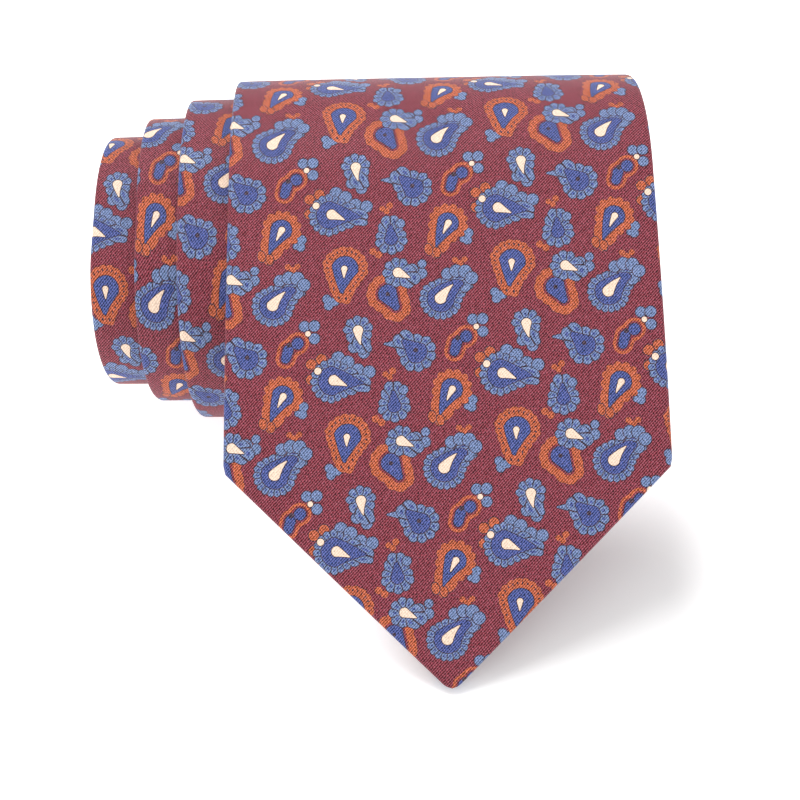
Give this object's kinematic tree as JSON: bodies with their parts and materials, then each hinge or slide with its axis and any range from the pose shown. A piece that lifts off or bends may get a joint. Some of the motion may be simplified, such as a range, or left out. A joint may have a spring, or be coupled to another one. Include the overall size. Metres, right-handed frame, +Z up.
{
  "type": "necktie",
  "caption": "Printed silk necktie rolled up from its narrow end, with its pointed blade lying over the front of the roll as a ramp.",
  "frame": {"origin": "centre of the whole object's footprint, on the surface it lies on", "axes": "+Z up, +X along the roll towards its right-hand end seen from the blade's side, +Y towards the back of the roll"},
  "size_m": [0.1192, 0.1314, 0.0711],
  "materials": {
    "printed_silk": "printed twill silk, soft sheen",
    "interlining": "brushed wool blend",
    "tipping": "smooth lining",
    "thread": "matte thread"
  },
  "bodies": {
    "roll": {"blade_bar_tack": "thread", "blade_neck_seam": "thread", "blade_shell_coil_1": "printed_silk", "blade_shell_coil_2": "printed_silk", "blade_shell_coil_3": "printed_silk", "blade_shell_coil_4": "printed_silk", "blade_tipping_coil": "tipping", "interlining_coil": "interlining", "keeper_loop": "printed_silk", "keeper_stitches": "thread", "neck_shell": "printed_silk", "neck_tail_seam": "thread", "slip_stitch": "thread", "spare_thread_loop": "thread", "tail_bar_tack": "thread", "tail_shell": "printed_silk", "tail_tipping": "tipping"},
    "blade_flap": {"blade_tip_shell": "printed_silk", "interlining_tip": "interlining", "blade_tipping": "tipping"}
  },
  "joints": [
    {"name": "blade_lift", "type": "hinge", "parent": "roll", "child": "blade_flap", "pos_m": [0, 0.01507, 0.06636], "axis": [-1, 0, 0], "range_deg": [0, 100]}
  ]
}
